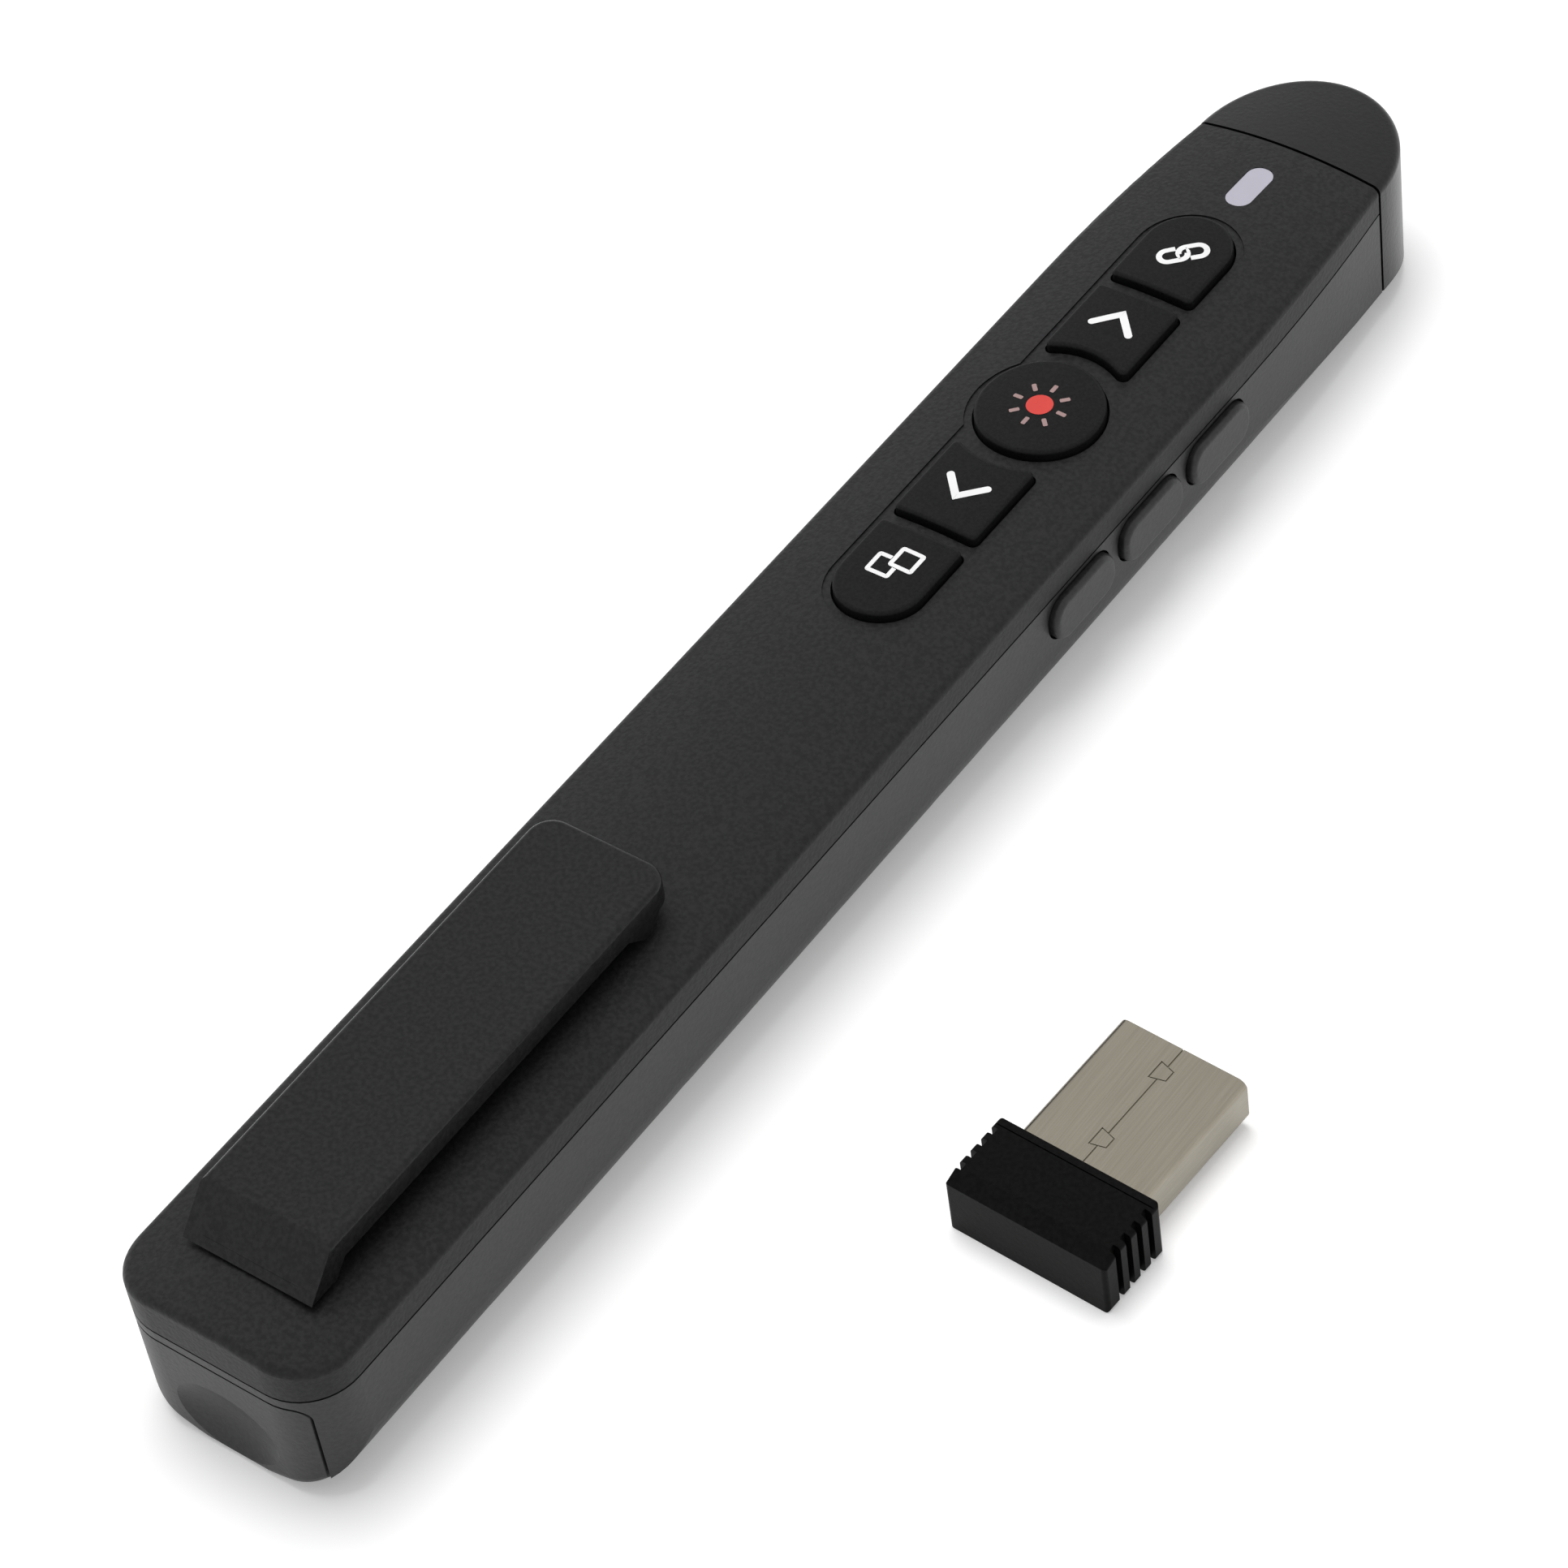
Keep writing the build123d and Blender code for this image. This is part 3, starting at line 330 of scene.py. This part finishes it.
# Symbols printed on the keys: each is drawn flat above its key, laid on it and given the ink's thickness.
# Their places and sizes are in millimetres, as the tools below take them.
printInk = {
    "stroke": 0.68,
    "thickness": 0.03,
    "above": 18.2,         # height at which a flat symbol is drawn before it is laid on its key
    "clearance": 0.004,    # under the ink, so that it never flickers with the key
    "cuts": 2,             # of each edge, so that the ink bends with the crown of the key
    "seam": 0.01,          # points of a mirrored symbol that lie this near become one
}


def pickOnly(piece):
    bpy.ops.object.select_all(action="DESELECT")
    piece.select_set(True)
    bpy.context.view_layer.objects.active = piece


# Opens one piece in edit mode, with all of it selected or none.
def openPiece(piece, kind="FACE", action="SELECT"):
    pickOnly(piece)
    bpy.ops.object.mode_set(mode="EDIT")
    bpy.ops.mesh.select_mode(type=kind)
    bpy.ops.mesh.select_all(action=action)


def addFlat(name, centre, size, angle=0.0):
    bpy.ops.object.select_all(action="DESELECT")
    place = (centre[0] * mm, centre[1] * mm, printInk["above"] * mm)
    bpy.ops.mesh.primitive_plane_add(size=1, location=place)
    piece = bpy.context.object
    piece.name = name
    piece.scale = (size[0] * mm, size[1] * mm, 1)
    piece.rotation_euler = (0, 0, math.radians(angle))
    bpy.ops.object.transform_apply(location=True, rotation=True, scale=True)
    return piece


def roundCorners(piece, radius, segments, near=None):
    openPiece(piece, "VERT", "DESELECT")
    bpy.ops.object.mode_set(mode="OBJECT")
    for vertex in piece.data.vertices:
        vertex.select = near is None or near(vertex.co.x / mm, vertex.co.y / mm)
    bpy.ops.object.mode_set(mode="EDIT")
    bpy.ops.mesh.bevel(offset=radius * mm, offset_type="OFFSET", segments=segments, affect="VERTICES")
    bpy.ops.object.mode_set(mode="OBJECT")


def openMiddle(piece, stroke):
    openPiece(piece)
    bpy.ops.mesh.inset(thickness=stroke * mm, depth=0)
    bpy.ops.mesh.delete(type="FACE")
    bpy.ops.object.mode_set(mode="OBJECT")


# Splits the flat piece along lines, each a point and a normal, then deletes the faces whose middle is inside.
def openWhere(piece, cuts, inside):
    openPiece(piece)
    for point, normal in cuts:
        bpy.ops.mesh.select_all(action="SELECT")
        bpy.ops.mesh.bisect(plane_co=(point[0] * mm, point[1] * mm, 0), plane_no=(*normal, 0))
    bpy.ops.mesh.select_all(action="DESELECT")
    bpy.ops.object.mode_set(mode="OBJECT")
    for face in piece.data.polygons:
        face.select = inside(face.center.x / mm, face.center.y / mm)
    bpy.ops.object.mode_set(mode="EDIT")
    bpy.ops.mesh.delete(type="FACE")
    bpy.ops.object.mode_set(mode="OBJECT")


def copyOf(piece, name):
    pickOnly(piece)
    bpy.ops.object.duplicate()
    twin = bpy.context.object
    twin.name = name
    return twin


def turnFlat(piece, angle, middle):
    openPiece(piece)
    pivot = (middle[0] * mm, middle[1] * mm, 0)
    bpy.ops.transform.rotate(value=math.radians(angle), orient_axis="Z", center_override=pivot)
    bpy.ops.object.mode_set(mode="OBJECT")


def shiftFlat(piece, step):
    openPiece(piece)
    bpy.ops.transform.translate(value=(step[0] * mm, step[1] * mm, 0))
    bpy.ops.object.mode_set(mode="OBJECT")


def joinAll(name, pieces):
    pickOnly(pieces[0])
    for piece in pieces:
        piece.select_set(True)
    bpy.ops.object.join()
    pieces[0].name = name
    return pieces[0]


def layOnKey(piece, key, body, material):
    openPiece(piece)
    bpy.ops.mesh.quads_convert_to_tris()
    bpy.ops.mesh.subdivide(number_cuts=printInk["cuts"])
    bpy.ops.object.mode_set(mode="OBJECT")
    wrap = piece.modifiers.new("lay", "SHRINKWRAP")
    wrap.target = nodes[key]
    wrap.wrap_method = "PROJECT"
    wrap.use_project_z = True
    wrap.use_negative_direction = True
    wrap.use_positive_direction = False
    wrap.offset = printInk["clearance"] * mm
    wall = piece.modifiers.new("ink", "SOLIDIFY")
    wall.thickness = printInk["thickness"] * mm
    wall.offset = 1
    for modifier in ("lay", "ink"):
        bpy.ops.object.modifier_apply(modifier=modifier)
    piece.data.materials.clear()
    piece.data.materials.append(material)
    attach(piece, body)


# An open arrowhead: one arm is drawn, rounded at its end, cut on the middle line and mirrored.
# The arrow of the up key is its copy, turned half round.
arrowMark = {
    "lowTip": 18.32,       # places of the two tips along the clicker
    "highTip": 43.3,
    "reach": 1.85,
    "rise": 1.95,
    "endRound": 0.49,      # share of the stroke
    "endSteps": 6,
}


def addArrow(name):
    stroke, tip = printInk["stroke"], arrowMark["lowTip"]
    reach, rise = arrowMark["reach"], arrowMark["rise"]
    length = math.hypot(reach, rise) + stroke
    angle = math.atan2(rise, reach)

    def atEnd(x, y):
        return x * math.cos(angle) + (y - tip) * math.sin(angle) > length / 2

    arm = addFlat(name, (reach / 2, tip + rise / 2), (length, stroke), math.degrees(angle))
    roundCorners(arm, stroke * arrowMark["endRound"], arrowMark["endSteps"], atEnd)
    openPiece(arm)
    bpy.ops.mesh.bisect(plane_co=(0, 0, 0), plane_no=(-1, 0, 0), clear_outer=True)
    bpy.ops.object.mode_set(mode="OBJECT")
    flip = arm.modifiers.new("flip", "MIRROR")
    flip.use_axis = (True, False, False)
    flip.merge_threshold = printInk["seam"] * mm
    bpy.ops.object.modifier_apply(modifier="flip")
    return arm


downSymbol = addArrow("downSymbol")
upSymbol = copyOf(downSymbol, "upSymbol")
turnFlat(upSymbol, 180, (0, (arrowMark["lowTip"] + arrowMark["highTip"]) / 2))
layOnKey(downSymbol, "down_key", "down_button", whitePrint)
layOnKey(upSymbol, "up_key", "up_button", whitePrint)


# Two square panes, the back one opened where the front one covers it.
windowMark = {
    "side": 2.4,
    "corner": 0.3,
    "cornerSteps": 3,
    "stroke": 0.4,
    "front": (0.77, 10.2),
    "back": (-0.64, 8.86),
    "gap": 0.06,
}
frontPane = addFlat("frontPane", windowMark["front"], (windowMark["side"], windowMark["side"]))
roundCorners(frontPane, windowMark["corner"], windowMark["cornerSteps"])
openMiddle(frontPane, windowMark["stroke"])
backPane = copyOf(frontPane, "backPane")
shiftFlat(backPane, [back - front for back, front in zip(windowMark["back"], windowMark["front"])])
paneLeft, paneLow = [middle - windowMark["side"] / 2 - windowMark["gap"] for middle in windowMark["front"]]
paneCuts = [((paneLeft, 0), (1, 0)), ((0, paneLow), (0, 1))]
openWhere(backPane, paneCuts, lambda x, y: x > paneLeft and y > paneLow)
layOnKey(joinAll("windowSymbol", [frontPane, backPane]), "window_key", "window_button", whitePrint)


# Two chain links: one is drawn level at the origin, cut where it passes under the other, then moved
# to its place. The other is its copy, turned half round.
linkMark = {
    "length": 3.0,
    "width": 2.0,
    "endRound": 0.495,     # share of the width
    "endSteps": 10,
    "stroke": 0.52,
    "step": 1.7,           # between the middles of the two links
    "middle": (0.31, 52.2),
    "turn": 45,
    "cutFrom": 0.33,       # the cut's place and width along the link
    "cutWide": 0.86,
}


def addLink(name):
    ring = addFlat(name, (0, 0), (linkMark["length"], linkMark["width"]))
    roundCorners(ring, linkMark["width"] * linkMark["endRound"], linkMark["endSteps"])
    openMiddle(ring, linkMark["stroke"])
    start = linkMark["cutFrom"]
    stop = start + linkMark["cutWide"]
    ringCuts = [((0, 0), (0, 1)), ((start, 0), (1, 0)), ((stop, 0), (1, 0))]
    openWhere(ring, ringCuts, lambda x, y: start < x < stop and y > 0)
    turn = math.radians(linkMark["turn"])
    ring.rotation_euler = (0, 0, turn)
    ring.location = (
        (linkMark["middle"][0] - linkMark["step"] / 2 * math.cos(turn)) * mm,
        (linkMark["middle"][1] - linkMark["step"] / 2 * math.sin(turn)) * mm,
        0,
    )
    pickOnly(ring)
    bpy.ops.object.transform_apply(location=True, rotation=True, scale=True)
    return ring


lowerLink = addLink("lowerLink")
upperLink = copyOf(lowerLink, "upperLink")
turnFlat(upperLink, 180, linkMark["middle"])
layOnKey(joinAll("linkSymbol", [lowerLink, upperLink]), "link_key", "link_button", whitePrint)


# A disc with short rays round it: one ray is drawn, and the others are its copies, turned round the disc.
beamMark = {
    "middle": (0, 30.7),
    "disc": 1.17,          # radius
    "discSides": 40,
    "near": 1.72,          # a ray's two ends, from the middle
    "far": 2.62,
    "width": 0.4,
    "corner": 0.1,
    "cornerSteps": 2,
    "rays": 8,
}
rayLength = beamMark["far"] - beamMark["near"]
rayMiddle = (beamMark["middle"][0] + (beamMark["near"] + beamMark["far"]) / 2, beamMark["middle"][1])
rays = [addFlat("ray", rayMiddle, (rayLength, beamMark["width"]))]
roundCorners(rays[0], beamMark["corner"], beamMark["cornerSteps"])
for index in range(1, beamMark["rays"]):
    ray = copyOf(rays[0], "ray")
    turnFlat(ray, 360 * index / beamMark["rays"], beamMark["middle"])
    rays.append(ray)
layOnKey(joinAll("raySymbol", rays), "laser_key", "laser_button", palePrint)


def addDisc(name):
    bpy.ops.object.select_all(action="DESELECT")
    bpy.ops.mesh.primitive_circle_add(
        vertices=beamMark["discSides"],
        radius=beamMark["disc"] * mm,
        fill_type="NGON",
        location=(beamMark["middle"][0] * mm, beamMark["middle"][1] * mm, printInk["above"] * mm),
    )
    piece = bpy.context.object
    piece.name = name
    bpy.ops.object.transform_apply(location=True, rotation=True, scale=True)
    return piece


layOnKey(addDisc("discSymbol"), "laser_key", "laser_button", redPrint)
print("symbols drawn")


# White uncoated paper under the clicker: dull, with faint fibres. Its glow shows only where it is seen,
# directly or in a reflection, so that the ground reads as white and still keeps the shadow.
paper = {
    "colour": "#eeeeee",
    "side": 6,             # metres
    "drop": 0.02,          # mm that it lies under the rest face, so that the two never flicker
    "fibre": 1.111,        # mm, coarser than real fibres, which are too fine to show
    "relief": 0.1,
    "depth": 0.02,         # mm
    "roughness": 0.9,
    "nearGlow": 0.28,
    "farGlow": 0.92,       # more where the lamp is far, so that it stays white
    "nearTo": 0.5,         # metres from the middle, between which the glow grows
    "farFrom": 1.6,
}


# 1 where the camera sees the surface directly, reflected or through clear plastic, and otherwise 0.
def seenGate(tree):
    path = addNode(tree, "ShaderNodeLightPath")
    direct = addNode(tree, "ShaderNodeMath", {"operation": "ADD", "use_clamp": True}, {
        0: path.outputs["Is Camera Ray"],
        1: path.outputs["Is Glossy Ray"],
    })
    gate = addNode(tree, "ShaderNodeMath", {"operation": "ADD", "use_clamp": True}, {
        0: direct.outputs[0],
        1: path.outputs["Is Transmission Ray"],
    })
    return gate.outputs[0]


def makePaper():
    material, tree, shader, place = newMaterial("whitePaper")
    fibre = addNode(tree, "ShaderNodeTexNoise", {
        "Scale": 1 / (paper["fibre"] * mm),
        "Detail": 2.0,
    }, {"Vector": place})
    bump = addNode(tree, "ShaderNodeBump", {
        "Strength": paper["relief"],
        "Distance": paper["depth"] * mm,
    }, {"Height": fibre.outputs["Fac"]})
    tree.links.new(bump.outputs["Normal"], shader.inputs["Normal"])
    shader.inputs["Base Color"].default_value = toLinear(paper["colour"])
    shader.inputs["Roughness"].default_value = paper["roughness"]
    shader.inputs["Specular IOR Level"].default_value = 0.0
    away = addNode(tree, "ShaderNodeVectorMath", {"operation": "LENGTH"}, {0: place})
    glow = addNode(tree, "ShaderNodeMapRange", {
        "interpolation_type": "SMOOTHSTEP",
        "From Min": paper["nearTo"],
        "From Max": paper["farFrom"],
        "To Min": paper["nearGlow"],
        "To Max": paper["farGlow"],
    }, {"Value": away.outputs["Value"]})
    strength = addNode(tree, "ShaderNodeMath", {"operation": "MULTIPLY"}, {
        0: seenGate(tree),
        1: glow.outputs["Result"],
    })
    shader.inputs["Emission Color"].default_value = (1, 1, 1, 1)
    tree.links.new(strength.outputs[0], shader.inputs["Emission Strength"])
    return material


bpy.ops.object.select_all(action="DESELECT")
bpy.ops.mesh.primitive_plane_add(size=paper["side"], location=(0, 0, -paper["drop"] * mm))
floor = bpy.context.object
floor.name = "floor"
bpy.ops.object.transform_apply(location=True, rotation=True, scale=True)
floor.data.materials.append(makePaper())


# White studio: plain white wherever it is seen, while its light comes mostly from overhead.
sky = {
    "low": 0.15,           # strength near the horizon
    "high": 0.95,          # strength overhead
    "from": 0.5,           # sine of the height above the horizon, between which it brightens
    "to": 1.0,
}


def makeStudio():
    world = bpy.data.worlds.new("studio")
    world.use_nodes = True
    tree = world.node_tree
    tree.nodes.clear()
    place = addNode(tree, "ShaderNodeTexCoord")
    split = addNode(tree, "ShaderNodeSeparateXYZ", {}, {"Vector": place.outputs["Generated"]})
    rise = addNode(tree, "ShaderNodeMapRange", {
        "interpolation_type": "SMOOTHSTEP",
        "From Min": sky["from"],
        "From Max": sky["to"],
        "To Min": sky["low"],
        "To Max": sky["high"],
    }, {"Value": split.outputs["Z"]})
    white = (1, 1, 1, 1)
    light = addNode(tree, "ShaderNodeBackground", {"Color": white}, {"Strength": rise.outputs["Result"]})
    shown = addNode(tree, "ShaderNodeBackground", {"Color": white, "Strength": 1.0})
    mixed = addNode(tree, "ShaderNodeMixShader", {}, {
        0: seenGate(tree),
        1: light.outputs["Background"],
        2: shown.outputs["Background"],
    })
    addNode(tree, "ShaderNodeOutputWorld", {}, {"Surface": mixed.outputs["Shader"]})
    return world


bpy.context.scene.world = makeStudio()

softbox = {
    "place": (-0.3, 0.18, 1.55),            # metres
    "side": 0.9,
    "power": 16.0,         # watts
}
softboxData = bpy.data.lights.new("softbox", "AREA")
softboxData.shape = "SQUARE"
softboxData.size = softbox["side"]
softboxData.energy = softbox["power"]
softboxLamp = bpy.data.objects.new("softbox", softboxData)
bpy.context.scene.collection.objects.link(softboxLamp)
softboxLamp.location = softbox["place"]
softboxLamp.rotation_euler = (-Vector(softbox["place"])).to_track_quat("-Z", "Y").to_euler()
softboxLamp.visible_glossy = False      # the white surroundings alone give the gloss
bpy.context.scene.view_settings.view_transform = "Standard"
print("stage lit")
